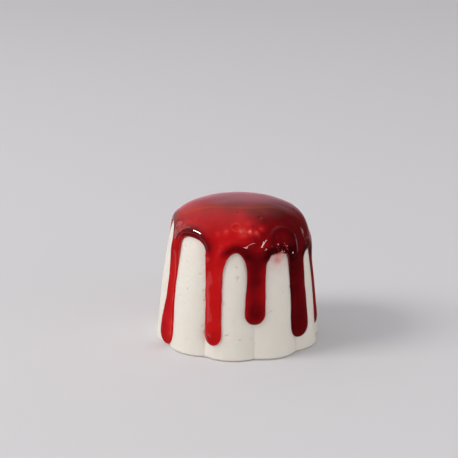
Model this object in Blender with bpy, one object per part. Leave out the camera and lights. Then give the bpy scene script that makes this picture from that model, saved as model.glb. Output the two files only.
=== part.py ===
"""A panna cotta turned out of a fluted mould, with thick red berry sauce run down from its top.

Two solids stand on z = 0 round the +Z axis: the set cream, and the sauce that caps it and hangs
in ten drips. Azimuth 0 faces -Y and grows towards +X. Lengths are millimetres until a vertex is placed.
"""

from collections import namedtuple
from math import atan2, cos, degrees, pi, radians, sin

import bmesh
import bpy
import numpy as np
from mathutils import Vector
from mathutils.kdtree import KDTree

MM = 0.001

# The set cream
LOBES = 10
CREASE_AZIMUTH = 11.8       # degrees, one of the ten creases
BASE_RADIUS = 34.7          # over the lobes, at the table
BODY_HEIGHT = 57.6
WALL_LEAN = 0.055           # how far the wall leans in for each millimetre up
WALL_CURVE = 0.00138        # and how fast that lean grows
SHOULDER_TURN = 19          # a higher power turns the shoulder later
SHOULDER_ROUND = 2.15       # and this one sets how square it is
FOOT_SPREAD = 0.4           # the soft foot spreads this much at the table
FOOT_HEIGHT = 8.0
FLUTE_DEPTH = 2.2           # from lobe to crease, at the table
FLUTE_TAPER = 0.018         # depth lost for each millimetre up
FLUTES_FADE = (40.0, 56.0)  # heights between which the flutes run out into the shoulder
CREASE_SOFTNESS = 0.12      # 0 is a knife-sharp crease
BASE_FILLET = 1.0

# The sauce
GAP = 0.3                   # between the cream and the underside of the sauce
EDGE_LIFT = 0.65            # top of the sauce over the cream, at its very edge
BEAD_LIFT = 1.15            # over a drip, and over the bead inside the edge
BEAD_WIDTH = 3.2
TIP_SWELL = 0.45            # more at the round end of a drip
SWELL_REACH = 7.0           # and how far from the end's middle it is felt
CAP_LIFT = 1.0              # on the shoulder
CAP_REACH = 8.0             # distance from the edge where the bead has sunk to the cap
TOP_LIFT = 1.4              # in the middle of the top
TOP_REACH = (12.0, 30.0)    # lengths along the crest line over which the top thins to the cap
LEVEL_REACH = 14.0          # distance from the edge where the sauce has filled the creases level
LEVEL_HEIGHT = (34.0, 46.0)  # up on the shoulder they fill between these heights, edge or not

Drip = namedtuple("Drip", "root_azimuth tip_azimuth stem_width bulb_width tip_height")
DRIPS = (
    Drip(-60.5, -62.2, 6.2, 10.4, 0.6),
    Drip(-18.8, -17.9, 7.5, 7.9, 6.0),
    Drip(13.9, 12.4, 7.7, 8.6, 14.8),
    Drip(51.4, 50.6, 8.6, 9.9, 6.3),
    Drip(85.5, 86.0, 6.8, 7.2, 5.6),
    Drip(119.5, 121.0, 7.0, 8.6, 17.5),
    Drip(156.0, 154.0, 8.2, 9.0, 8.6),
    Drip(192.0, 192.5, 6.4, 7.6, 23.0),
    Drip(223.0, 222.0, 7.6, 8.8, 4.6),
    Drip(250.0, 251.5, 6.4, 7.6, 13.0),
)

ROOT_HEIGHT = 38.0          # a drip leaves its root azimuth below this
BULB_RISE = 1.5             # the stem swells over this many bulb widths above the bulb

# The edge of the sauce between a drip and the next: heights of its two feet and of its crown,
# the crown's place between the feet, and how square the arch is (2 is an ellipse)
Arch = namedtuple("Arch", "first_foot crown last_foot crown_share squareness")
ARCHES = (
    Arch(42.5, 48.0, 42.0, 0.42, 2.5),
    Arch(34.8, 44.0, 36.0, 0.54, 1.9),
    Arch(35.5, 42.8, 38.5, 0.68, 2.2),
    Arch(36.5, 40.8, 36.0, 0.50, 2.4),
    Arch(34.0, 41.0, 35.5, 0.45, 2.0),
    Arch(34.5, 42.2, 36.0, 0.55, 2.1),
    Arch(38.0, 45.0, 37.0, 0.40, 2.2),
    Arch(37.5, 44.4, 39.0, 0.60, 2.0),
    Arch(41.0, 47.2, 41.5, 0.48, 2.3),
    Arch(42.0, 50.2, 44.5, 0.56, 2.1),
)

# Mesh fineness
LINE_POINTS = 400           # along the crest line, for looking lengths up
BODY_COLUMNS = 10 * LOBES
SHOULDER_SHARES = (0, 0.35, 0.6, 0.76, 0.86, 0.92, 0.96, 0.985)  # of the wall's radius, outwards
WALL_ROWS = 7
FILLET_ROWS = 3
DRIP_COLUMNS = 6
ARCH_COLUMNS = 6
STEM_ROWS = 7
TIP_ROWS = 4
TIP_LENGTH = 1.1            # of the bulb's half width
RING_SHARES = (0, 0.2, 0.38, 0.51, 0.6, 0.67, 0.735, 0.8, 0.865, 0.93, 1)
EDGE_SAMPLES = 6            # points on each edge of the sauce's outline, to measure distances from
WELD = 1e-5                 # metres


def smooth(value, start, end):
    """0 before start, 1 after end, and an S-curve between them."""
    share = np.clip((value - start) / (end - start), 0, 1)
    return share * share * (3 - 2 * share)


def mix(first, last, share):
    return first + (last - first) * share


def crest_radius(height):
    """Radius over the lobes: a spread foot, a wall that leans in, and its turn over into the top."""
    above_foot = 1 - (1 - np.clip(height / FOOT_HEIGHT, 0, 1)) ** 2
    wall = BASE_RADIUS - FOOT_SPREAD * above_foot - WALL_LEAN * height - WALL_CURVE * height**2
    return wall * (1 - (height / BODY_HEIGHT) ** SHOULDER_TURN) ** (1 / SHOULDER_ROUND)


def shoulder_height(share):
    """Height where the shoulder has kept this share of the wall's radius."""
    return BODY_HEIGHT * (1 - share**SHOULDER_ROUND) ** (1 / SHOULDER_TURN)


class CrestLine:
    """The line over a lobe from the middle of the top down to the table, by length along it."""

    def __init__(self):
        shoulder = shoulder_height(np.linspace(0, SHOULDER_SHARES[-1], LINE_POINTS // 2))
        wall = np.linspace(shoulder[-1], 0, LINE_POINTS // 2)[1:]
        self.heights = np.concatenate([shoulder, wall])
        self.radii = crest_radius(self.heights)
        steps = np.hypot(np.diff(self.radii), np.diff(self.heights))
        self.lengths = np.concatenate([[0], np.cumsum(steps)])
        across = np.gradient(self.radii, self.lengths)
        down = np.gradient(self.heights, self.lengths)
        size = np.hypot(across, down)
        self.out, self.up = -down / size, across / size

    def length_at(self, height):
        return np.interp(-height, -self.heights, self.lengths)

    def length_of(self, radius, height):
        """Length at a point of the line: radius grows and height falls along it."""
        return np.interp(radius - height, self.radii - self.heights, self.lengths)

    def at(self, length):
        """Radius, height and outward normal."""
        lines = self.radii, self.heights, self.out, self.up
        return [np.interp(length, self.lengths, line) for line in lines]


CREST = CrestLine()


def flute(azimuth, height):
    """How far the cream lies inside the crest line: deepest in a crease, 0 on a lobe and on the top."""
    swing = cos(radians(azimuth - CREASE_AZIMUTH) * LOBES / 2 - pi / 2)
    lobe = (swing**2 + CREASE_SOFTNESS**2) ** 0.5 / (1 + CREASE_SOFTNESS**2) ** 0.5
    depth = (FLUTE_DEPTH - FLUTE_TAPER * height) * (1 - smooth(height, *FLUTES_FADE))
    return depth * (1 - lobe)


def on_axis(azimuth, radius, height):
    """A point in metres, from an azimuth in degrees and millimetres."""
    return Vector((radius * sin(radians(azimuth)), -radius * cos(radians(azimuth)), height)) * MM


def surface(azimuth, length, sunk, lift):
    """A point over the crest line: moved in by what is sunk, then out along the normal."""
    radius, height, out, up = CREST.at(length)
    return on_axis(azimuth, radius - sunk + out * lift, height + up * lift)


def add_patch(bm, columns, rows, place):
    """A grid whose corner at column i and row j goes to place(i, j)."""
    grid = bmesh.ops.create_grid(bm, x_segments=columns, y_segments=rows, size=0.5)
    for vert in grid["verts"]:
        vert.co = place(round((vert.co.x + 0.5) * columns), round((vert.co.y + 0.5) * rows))


def weld(bm):
    bmesh.ops.remove_doubles(bm, verts=bm.verts, dist=WELD)


def make_object(name, bm, material, collection):
    bmesh.ops.recalc_face_normals(bm, faces=bm.faces)
    mesh = bpy.data.meshes.new(name)
    bm.to_mesh(mesh)
    bm.free()
    mesh.shade_smooth()
    mesh.materials.append(material)
    obj = bpy.data.objects.new(name, mesh)
    collection.objects.link(obj)
    return obj


def make_material(name, colour, roughness, subsurface):
    material = bpy.data.materials.new(name)
    material.use_nodes = True
    shader = material.node_tree.nodes["Principled BSDF"]
    shader.inputs["Base Color"].default_value = (*colour, 1)
    shader.inputs["Roughness"].default_value = roughness
    shader.inputs["Metallic"].default_value = 0
    shader.inputs["Subsurface Weight"].default_value = subsurface
    material.diffuse_color = (*colour, 1)
    return material


def body_rows():
    """Rows of the cream from the middle of the top down to the middle of the base: azimuth to point."""

    def crest_row(height):
        length = CREST.length_at(height)
        return lambda azimuth: surface(azimuth, length, flute(azimuth, height), 0)

    def base_row(inset, height):
        return lambda azimuth: on_axis(azimuth, BASE_RADIUS - flute(azimuth, 0) - inset, height)

    def floor_row(share):
        reach = share * (BASE_RADIUS - BASE_FILLET)
        return lambda azimuth: on_axis(azimuth, reach - share * flute(azimuth, 0), 0)

    shoulder = [shoulder_height(share) for share in SHOULDER_SHARES]
    wall = np.linspace(shoulder[-1], BASE_FILLET, WALL_ROWS + 1)[1:]
    turns = [pi / 2 * row / FILLET_ROWS for row in range(1, FILLET_ROWS)]
    fillet = [base_row(BASE_FILLET * (1 - cos(turn)), BASE_FILLET * (1 - sin(turn))) for turn in turns]
    floor = [floor_row(share) for share in (1, 0.5, 0)]
    return [crest_row(height) for height in (*shoulder, *wall)] + fillet + floor


def build_cream(material, collection):
    """The fluted cream, as one wrapped grid welded at its seam and at its two middles."""
    bm = bmesh.new()
    rows = body_rows()
    column_angle = 360 / BODY_COLUMNS
    add_patch(bm, BODY_COLUMNS, len(rows) - 1, lambda i, j: rows[j](CREASE_AZIMUTH + column_angle * i))
    weld(bm)
    return make_object("panna_cotta", bm, material, collection)


def half_angle(width, height):
    """Degrees from the middle of a drip to its side."""
    return degrees(width / 2 / crest_radius(height))


def bulb_height(drip):
    """Height of the widest place of a drip's end."""
    return drip.tip_height + TIP_LENGTH * drip.bulb_width / 2


def drip_azimuth(drip, height):
    return mix(drip.tip_azimuth, drip.root_azimuth, smooth(height, drip.tip_height, ROOT_HEIGHT))


def drip_width(drip, height):
    """Stem width, swelling to the bulb over the last stretch."""
    bulb = bulb_height(drip)
    return mix(drip.bulb_width, drip.stem_width, smooth(height, bulb, bulb + BULB_RISE * drip.bulb_width))


def drip_point(drip, side, height):
    """Azimuth at a height of a drip, with side from -1 at its left to 1 at its right."""
    return drip_azimuth(drip, height) + side * half_angle(drip_width(drip, height), height)


def foot_heights(index):
    """Where a drip's left and right sides run out of the arches beside it."""
    return ARCHES[index - 1].last_foot, ARCHES[index].first_foot


def arch_point(index, share):
    """(azimuth, height) along the edge of the sauce from one drip to the next."""
    arch, before, after = ARCHES[index], DRIPS[index], DRIPS[(index + 1) % len(DRIPS)]
    start = drip_point(before, 1, arch.first_foot)
    end = drip_point(after, -1, arch.last_foot)
    end += 360 if end < start else 0
    crown = mix(start, end, arch.crown_share)
    foot, foot_height = (start, arch.first_foot) if share < 0.5 else (end, arch.last_foot)
    turn = pi * share
    across = abs(cos(turn)) ** (2 / arch.squareness)
    rise = sin(turn) ** (2 / arch.squareness) if 0 < share < 1 else 0
    return mix(crown, foot, across), mix(foot_height, arch.crown, rise)


def rim_points():
    """(azimuth, height) where each column of the cap ends: across a drip's root, then along an arch."""
    points = []
    for index, drip in enumerate(DRIPS):
        left, right = foot_heights(index)
        for column in range(DRIP_COLUMNS):
            share = column / DRIP_COLUMNS
            height = mix(left, right, share)
            points.append((drip_point(drip, 2 * share - 1, height), height))
        points += [arch_point(index, column / ARCH_COLUMNS) for column in range(ARCH_COLUMNS)]
    return points


def add_cap(bm):
    """The sauce over the top and shoulder, out to its rim."""
    rim = rim_points()
    columns = len(rim)
    rim.append((rim[0][0] + 360, rim[0][1]))

    def place(column, ring):
        share = RING_SHARES[ring]
        azimuth, height = rim[column]
        even = rim[0][0] + 360 * column / columns
        return surface(mix(even, azimuth, smooth(share, 0, 1)), CREST.length_at(height) * share, 0, 0)

    add_patch(bm, columns, len(RING_SHARES) - 1, place)


def add_drip(bm, index):
    """One drip, from its root on the cap's rim to its round tip."""
    drip = DRIPS[index]
    left, right = foot_heights(index)
    bulb = bulb_height(drip)

    def place(column, row):
        side = 2 * column / DRIP_COLUMNS - 1
        root = mix(left, right, column / DRIP_COLUMNS)
        if row <= STEM_ROWS:
            height = mix(root, bulb, row / STEM_ROWS)
            return surface(drip_point(drip, side, height), CREST.length_at(height), 0, 0)
        turn = pi / 2 * (row - STEM_ROWS) / TIP_ROWS
        height = bulb - (bulb - drip.tip_height) * sin(turn)
        azimuth = drip_azimuth(drip, height) + side * half_angle(drip.bulb_width, bulb) * cos(turn)
        return surface(azimuth, CREST.length_at(height), 0, 0)

    add_patch(bm, DRIP_COLUMNS, STEM_ROWS + TIP_ROWS, place)


def distance_to(points):
    """A function that gives the distance in millimetres from a point to the nearest of these."""
    tree = KDTree(len(points))
    for index, point in enumerate(points):
        tree.insert(point, index)
    tree.balance()
    return lambda point: tree.find(point)[2] / MM


def outline_points(bm):
    """Points close together along the open edge of the sheet."""
    ends = [[vert.co for vert in edge.verts] for edge in bm.edges if edge.is_boundary]
    return [a.lerp(b, step / EDGE_SAMPLES) for a, b in ends for step in range(EDGE_SAMPLES)]


def bulb_points():
    """The middle of each drip's round end."""
    ends = [(drip_azimuth(drip, bulb_height(drip)), bulb_height(drip)) for drip in DRIPS]
    return [surface(azimuth, CREST.length_at(height), 0, 0) for azimuth, height in ends]


def sauce_lift(inside, from_bulb, length):
    """Thickness over the cream: a bead at the edge, swollen ends, a thinner shoulder and a fuller top."""
    bead = np.sqrt(1 - (1 - np.clip(inside / BEAD_WIDTH, 0, 1)) ** 2)
    swell = TIP_SWELL * (1 - smooth(from_bulb, 0, SWELL_REACH))
    edge = mix(EDGE_LIFT, BEAD_LIFT + swell, bead)
    cap = mix(TOP_LIFT, CAP_LIFT, smooth(length, *TOP_REACH))
    return mix(edge, cap, smooth(inside, BEAD_WIDTH, CAP_REACH))


def build_sauce(material, collection):
    """The sauce: a sheet on the crest surface, doubled into an underside and a swollen top side."""
    bm = bmesh.new()
    add_cap(bm)
    for index in range(len(DRIPS)):
        add_drip(bm, index)
    weld(bm)
    to_edge = distance_to(outline_points(bm))
    to_bulb = distance_to(bulb_points())
    doubled = bmesh.ops.extrude_face_region(bm, geom=bm.faces[:], use_keep_orig=True)
    upper = {item for item in doubled["geom"] if isinstance(item, bmesh.types.BMVert)}
    for vert in bm.verts:
        inside = to_edge(vert.co)
        azimuth, height = degrees(atan2(vert.co.x, -vert.co.y)), vert.co.z / MM
        length = CREST.length_of(vert.co.xy.length / MM, height)
        sunk, lift = flute(azimuth, height), GAP
        if vert in upper:
            sunk *= (1 - smooth(inside, 0, LEVEL_REACH)) * (1 - smooth(height, *LEVEL_HEIGHT))
            lift = sauce_lift(inside, to_bulb(vert.co), length)
        vert.co = surface(azimuth, length, sunk, lift)
    return make_object("berry_sauce", bm, material, collection)


def main():
    for obj in list(bpy.data.objects):
        bpy.data.objects.remove(obj)
    collection = bpy.data.collections.new("panna_cotta_with_sauce")
    bpy.context.scene.collection.children.link(collection)
    cream = make_material("set_cream", (0.83, 0.80, 0.74), 0.45, 0.3)
    sauce = make_material("red_berry_sauce", (0.36, 0.012, 0.016), 0.08, 0.1)
    build_cream(cream, collection)
    build_sauce(sauce, collection)


main()
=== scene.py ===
# %% [markdown]
# # A panna cotta with red berry sauce
# A panna cotta is cream set with a little gelatine in a metal mould, chilled, and turned out upside
# down. This one comes from a small fluted mould, so its side has ten shallow lobes with a crease
# between each two. A thick, clear red berry sauce lies over its top and hangs down its side.
# We start by loading the solid model of both, which fixes their size and place. The two pieces we
# make here are finer copies of those solids, and the model's box gives the cream's height.

# %% Load the frame
from collections import namedtuple
from math import atan2, cos, degrees, pi, radians, sin

import bmesh
import bpy
import numpy as np
from mathutils import Matrix, Vector, noise
from mathutils.kdtree import KDTree


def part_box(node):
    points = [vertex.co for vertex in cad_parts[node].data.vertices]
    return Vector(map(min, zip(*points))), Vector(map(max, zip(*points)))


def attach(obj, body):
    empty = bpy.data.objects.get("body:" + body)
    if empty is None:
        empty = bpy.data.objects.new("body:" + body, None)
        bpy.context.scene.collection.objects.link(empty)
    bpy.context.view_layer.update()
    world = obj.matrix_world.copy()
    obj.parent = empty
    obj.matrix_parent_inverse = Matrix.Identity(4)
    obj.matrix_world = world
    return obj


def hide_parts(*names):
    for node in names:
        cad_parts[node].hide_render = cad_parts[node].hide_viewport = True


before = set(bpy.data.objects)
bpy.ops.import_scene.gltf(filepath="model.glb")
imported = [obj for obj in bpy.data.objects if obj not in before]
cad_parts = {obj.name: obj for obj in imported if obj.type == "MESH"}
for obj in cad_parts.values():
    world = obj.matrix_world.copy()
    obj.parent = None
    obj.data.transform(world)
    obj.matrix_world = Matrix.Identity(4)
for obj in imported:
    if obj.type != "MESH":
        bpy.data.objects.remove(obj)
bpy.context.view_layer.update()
MM = 0.001
_, cream_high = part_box("panna_cotta")
print("nodes:", sorted(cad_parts), "cream height, mm:", round(cream_high.z / MM, 2))

# %% [markdown]
# ## The shape of the mould
# Everything here sits on one curve: the crest line, which runs over a lobe from the middle of the
# top down to the table. Cream this soft spreads a little at its foot, leans in as it rises and
# turns over into a rounded top. A formula gives that line with no corner in it, and its length
# tells us how far down the side a point is, which is how sauce runs.

# %% The crest line
BODY_HEIGHT = cream_high.z / MM
BASE_RADIUS = 34.7      # mm, over the lobes
WALL_LEAN = 0.055       # mm inwards for each millimetre of height
WALL_CURVE = 0.00138    # mm more, for each square millimetre of height
SHOULDER_TURN = 19      # the higher, the later and tighter the side turns over
SHOULDER_ROUND = 2.15   # the higher, the flatter the top
FOOT_SPREAD = 0.4       # mm
FOOT_HEIGHT = 8.0       # mm
LINE_POINTS = 1200
TOP_SHARE = 0.985       # the line is sampled by its radius this far out, and then by its height


def smooth(value, start, end):
    """0 before start, 1 after end, and an S-curve between them."""
    share = np.clip((value - start) / (end - start), 0, 1)
    return share * share * (3 - 2 * share)


def mix(first, last, share):
    return first + (last - first) * share


def crest_radius(height):
    """Distance from the axis to the crest line, in millimetres."""
    above_foot = 1 - (1 - np.clip(height / FOOT_HEIGHT, 0, 1)) ** 2
    wall = BASE_RADIUS - FOOT_SPREAD * above_foot - WALL_LEAN * height - WALL_CURVE * height**2
    turn = np.clip(height / BODY_HEIGHT, 0, 1) ** SHOULDER_TURN
    return wall * (1 - turn) ** (1 / SHOULDER_ROUND)


def crest_line():
    """Heights, radii, outward normals and lengths along the line, from the top down."""
    share = np.linspace(0, TOP_SHARE, LINE_POINTS // 2)
    shoulder = BODY_HEIGHT * (1 - share**SHOULDER_ROUND) ** (1 / SHOULDER_TURN)
    heights = np.concatenate([shoulder, np.linspace(shoulder[-1], 0, LINE_POINTS // 2)[1:]])
    radii = crest_radius(heights)
    steps = np.hypot(np.diff(radii), np.diff(heights))
    lengths = np.concatenate([[0], np.cumsum(steps)])
    across, down = np.gradient(radii, lengths), np.gradient(heights, lengths)
    size = np.hypot(across, down)
    return heights, radii, -down / size, across / size, lengths


HEIGHTS, RADII, OUT, UP, LENGTHS = crest_line()
print("crest line, mm:", round(LENGTHS[-1], 1))

# %% Points on the crest line
# Azimuth 0 is the side that faces the camera, and it grows towards the camera's right.


def crest_at(length):
    """Radius, height and outward normal at a length along the line."""
    return [float(np.interp(length, LENGTHS, line)) for line in (RADII, HEIGHTS, OUT, UP)]


def length_at(height):
    return float(np.interp(-height, -HEIGHTS, LENGTHS))


def length_of(radius, height):
    return float(np.interp(radius - height, RADII - HEIGHTS, LENGTHS))


def on_axis(azimuth, radius, height):
    """A point in metres, from an azimuth in degrees and millimetres."""
    turn = radians(azimuth)
    return Vector((radius * sin(turn), -radius * cos(turn), height)) * MM


def surface(azimuth, length, sunk, lift):
    """A point over the crest line: moved in by what is sunk, then out along the normal."""
    radius, height, out, up = crest_at(length)
    return on_axis(azimuth, radius - sunk + out * lift, height + up * lift)


# %% [markdown]
# ## The flutes
# The mould's flutes are round on their lobes and almost sharp in the creases between them, and
# they fade out where the side turns into the top. The size of a cosine has that shape: it is round
# at its top and comes to a point at zero. A small number under a square root softens the point.

# %% The flutes
LOBES = 10
CREASE_AZIMUTH = 11.8   # degrees
FLUTE_DEPTH = 2.2       # mm, at the table
FLUTE_TAPER = 0.018     # mm less for each millimetre of height
FLUTES_FADE = (40.0, 56.0)      # heights in mm
CREASE_SOFTNESS = 0.045


def flute(azimuth, height):
    """How far the cream lies inside the crest line."""
    swing = sin(radians(azimuth - CREASE_AZIMUTH) * LOBES / 2)
    lobe = ((swing**2 + CREASE_SOFTNESS**2) / (1 + CREASE_SOFTNESS**2)) ** 0.5
    depth = (FLUTE_DEPTH - FLUTE_TAPER * height) * (1 - smooth(height, *FLUTES_FADE))
    return float(depth * (1 - lobe))


print("depth of a crease at the table, mm:", round(flute(CREASE_AZIMUTH, 0), 2))

# %% [markdown]
# ## Where the sauce has run
# A sauce this thick runs in a few broad drips. Each leaves the cap as a funnel, keeps an even
# width down the side, and ends in a rounder, fuller drop where it stopped. Between two drips the
# edge draws up in an arch. The front five drips and arches are measured on the real one. The back
# can't be seen, so the other five follow the same habit with other lengths.

# %% The drips and the arches
# A drip has its azimuths in degrees, and its widths and the height of its tip in millimetres.
Drip = namedtuple("Drip", "root_azimuth tip_azimuth stem_width bulb_width tip_height")
DRIPS = (
    Drip(-60.5, -62.2, 6.2, 10.4, 0.6),
    Drip(-18.8, -17.9, 7.5, 7.9, 6.0),
    Drip(13.9, 12.4, 7.7, 8.6, 14.8),
    Drip(51.4, 50.6, 8.6, 9.9, 6.3),
    Drip(85.5, 87.5, 6.4, 6.2, 5.6),
    Drip(119.5, 121.0, 7.0, 8.6, 17.5),
    Drip(156.0, 154.0, 8.2, 9.0, 8.6),
    Drip(192.0, 192.5, 6.4, 7.6, 23.0),
    Drip(223.0, 222.0, 7.6, 8.8, 4.6),
    Drip(250.0, 251.5, 6.4, 7.6, 13.0),
)
ROOT_HEIGHT = 38.0      # mm, where the drips leave the cap
BULB_RISE = 1.5         # widths of the drop over which a stem swells to it
TIP_LENGTH = 1.1        # length of the rounded end, in halves of its width

# An arch has the heights of its feet and its crown in millimetres, the place of the crown from the
# one foot to the other, how square it is, how ragged its edge is and how fat the roll round it.
Arch = namedtuple("Arch", "first_foot crown last_foot crown_share squareness ragged roll")
ARCHES = (
    Arch(42.5, 48.0, 42.0, 0.42, 2.5, 0.1, 0.9),
    Arch(34.8, 44.0, 36.0, 0.54, 1.9, 0.1, 0.5),
    Arch(35.5, 43.0, 38.5, 0.60, 2.6, 0.8, 0.15),
    Arch(36.5, 40.8, 36.0, 0.50, 2.4, 0.35, 0.15),
    Arch(34.0, 41.0, 35.5, 0.45, 2.0, 0.1, 0.3),
    Arch(34.5, 42.2, 36.0, 0.55, 2.1, 0.2, 0.4),
    Arch(38.0, 45.0, 37.0, 0.40, 2.2, 0.1, 0.4),
    Arch(37.5, 44.4, 39.0, 0.60, 2.0, 0.4, 0.4),
    Arch(41.0, 47.2, 41.5, 0.48, 2.3, 0.1, 0.3),
    Arch(42.0, 50.2, 44.5, 0.56, 2.1, 0.15, 0),
)
print(len(DRIPS), "drips,", len(ARCHES), "arches")

# %% The outline of a drip
SIDE_WANDER = 0.3       # how far a drip's side wanders from its even width, mm
WANDER_PERIOD = 6.0     # and over what height, mm
WANDER_FADE = 5         # it dies away over this height above the drop, mm
ROOT_FADE = (30, 36)    # and between these heights below the cap, mm
SIDES_APART = 5         # far enough in the noise for the two sides to have nothing in common


def bulb_height(drip):
    """Height of the widest place of a drip's end."""
    return drip.tip_height + TIP_LENGTH * drip.bulb_width / 2


def drip_azimuth(drip, height):
    """Azimuth of a drip's middle, which strays a little on its way down."""
    return mix(drip.tip_azimuth, drip.root_azimuth, smooth(height, drip.tip_height, ROOT_HEIGHT))


def drip_width(drip, height):
    """Stem width, swelling to the bulb over the last stretch."""
    bulb = bulb_height(drip)
    above = smooth(height, bulb, bulb + BULB_RISE * drip.bulb_width)
    return mix(drip.bulb_width, drip.stem_width, above)


def wander(drip, side, height):
    """A few tenths of a millimetre in or out, fading away at the bulb and at the root."""
    place = Vector((drip.root_azimuth, side * SIDES_APART, height / WANDER_PERIOD))
    bulb = bulb_height(drip)
    there = smooth(height, bulb, bulb + WANDER_FADE) * (1 - smooth(height, *ROOT_FADE))
    return SIDE_WANDER * noise.noise(place) * there


def drip_point(drip, side, height):
    """Azimuth at a height of a drip, with side from -1 at its left to 1 at its right."""
    half = drip_width(drip, height) / 2 + wander(drip, 1 if side > 0 else -1, height)
    return drip_azimuth(drip, height) + side * degrees(half / crest_radius(height))


# %% The outline of an arch
RAGGED_PERIOD = 5.0     # degrees from one notch of a ragged arch to the next
ARCHES_APART = 7        # far enough in the noise for two arches to have nothing in common
NOTCH_REACH = 3         # the higher, the closer to its feet an arch is ragged


def foot_heights(index):
    """Where a drip's left and right sides run out of the arches beside it."""
    return ARCHES[index - 1].last_foot, ARCHES[index].first_foot


def arch_point(index, share):
    """(azimuth, height) along the edge of the sauce from one drip to the next."""
    arch, before, after = ARCHES[index], DRIPS[index], DRIPS[(index + 1) % len(DRIPS)]
    start = drip_point(before, 1, arch.first_foot)
    end = drip_point(after, -1, arch.last_foot)
    end += 360 if end < start else 0
    crown = mix(start, end, arch.crown_share)
    foot, foot_height = (start, arch.first_foot) if share < 0.5 else (end, arch.last_foot)
    turn = pi * share
    across = abs(cos(turn)) ** (2 / arch.squareness)
    rise = sin(turn) ** (2 / arch.squareness) if 0 < share < 1 else 0
    azimuth, height = mix(crown, foot, across), mix(foot_height, arch.crown, rise)
    place = Vector((azimuth / RAGGED_PERIOD * 2, index * ARCHES_APART, 0))
    notch = noise.noise(place) * arch.ragged * min(1, NOTCH_REACH * sin(turn))
    return azimuth, height + notch


# %% [markdown]
# ## The cream
# The cream is one soft solid with a skin almost as smooth as its mould. We could sculpt it, but a
# turned profile is quicker and exact. We draw the crest line as a row of points, take it round the
# small radius at the foot and in under the base, and spin it once round.

# %% Spin the cream
CREAM_COLUMNS = 360
CREAM_ROWS = 100
BASE_FILLET = 1.5       # mm, the radius of the foot
FILLET_ROWS = 5
UNDER_SHARES = (0.75, 0.4, 0)   # of the base's radius, for the rows under it
SAME_POINT = 1e-6       # metres


def new_object(name, bm, material):
    """A smooth object at the origin from a finished bmesh."""
    mesh = bpy.data.meshes.new(name)
    bm.to_mesh(mesh)
    bm.free()
    mesh.shade_smooth()
    mesh.materials.append(material)
    obj = bpy.data.objects.new(name, mesh)
    bpy.context.scene.collection.objects.link(obj)
    return obj


def cream_profile():
    """(radius, height) down the crest line, round the foot and in under the base."""
    end = length_at(BASE_FILLET)
    points = [crest_at(mix(0, end, row / CREAM_ROWS))[:2] for row in range(CREAM_ROWS + 1)]
    for row in range(1, FILLET_ROWS + 1):
        turn = pi / 2 * row / FILLET_ROWS
        points.append((BASE_RADIUS - BASE_FILLET * (1 - cos(turn)), BASE_FILLET * (1 - sin(turn))))
    reach = points[-1][0]
    return points + [(reach * share, 0) for share in UNDER_SHARES]


def spin_cream():
    bm = bmesh.new()
    verts = [bm.verts.new(on_axis(CREASE_AZIMUTH, *point)) for point in cream_profile()]
    edges = [bm.edges.new(pair) for pair in zip(verts, verts[1:])]
    bmesh.ops.spin(bm, geom=verts + edges, cent=(0, 0, 0), axis=(0, 0, 1), angle=2 * pi,
                   steps=CREAM_COLUMNS, use_merge=True)
    bmesh.ops.remove_doubles(bm, verts=bm.verts, dist=SAME_POINT)
    bmesh.ops.recalc_face_normals(bm, faces=bm.faces)
    return bm


cream_bm = spin_cream()
print("spun cream:", len(cream_bm.verts), "points")

# %% [markdown]
# ## Flutes, grooves and sag
# The flutes are pressed into the round solid by moving each point towards the axis. Where two
# flutes of the mould met, the cream keeps a fine sharp line, so we first draw the columns together
# there. Soft cream also sags by a tenth of a millimetre here and there, which a slow noise gives.

# %% Press the flutes in
GATHER = 2.2            # degrees by which the columns draw together at the creases
GROOVE = 0.22           # mm, the depth of the sharp line
GROOVE_WIDTH = 0.35     # mm
GROOVE_FADES = (30, 45)     # heights in mm
SAG = 0.12              # mm
SAG_SIZE = 17.0         # mm
SAG_FROM = (2, 12)      # heights in mm, because the foot stands flat on the table
POLE_REACH = 12         # mm from the axis, where the top has no flutes to press in


def place_of(point):
    """(azimuth, height, radius) of a point, in degrees and millimetres."""
    return degrees(atan2(point.x, -point.y)), point.z / MM, point.xy.length / MM


def groove(azimuth, height):
    """Depth of the fine line in the nearest crease."""
    off = ((azimuth - CREASE_AZIMUTH) * LOBES / 360 + 0.5) % 1 - 0.5
    away = radians(off * 360 / LOBES) * BASE_RADIUS / GROOVE_WIDTH
    return GROOVE * float(np.exp(-(away**2)) * (1 - smooth(height, *GROOVE_FADES)))


def press_flutes(bm):
    for vert in bm.verts:
        azimuth, _, _ = place_of(vert.co)
        shift = -GATHER * sin(radians((azimuth - CREASE_AZIMUTH) * LOBES))
        vert.co.rotate(Matrix.Rotation(radians(shift), 3, "Z"))
        azimuth, height, radius = place_of(vert.co)
        on_wall = radius / BASE_RADIUS if height < BASE_FILLET else 1
        sunk = (flute(azimuth, height) + groove(azimuth, height)) * min(on_wall, 1)
        sunk += SAG * (1 + noise.noise(vert.co / (SAG_SIZE * MM))) * smooth(height, *SAG_FROM)
        if radius > 0:
            vert.co.xy *= (radius - sunk * smooth(radius, 0, POLE_REACH)) / radius


press_flutes(cream_bm)
print("pressed", LOBES, "flutes")

# %% [markdown]
# ## Pinholes
# Air that was stirred into the cream rises to the mould's wall and is caught there, most of all in
# the creases. It leaves pits of half a millimetre. A bump texture could draw them, but they are
# seen from the side at the outline, so they are real: we refine the mesh round each and press it in.

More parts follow.
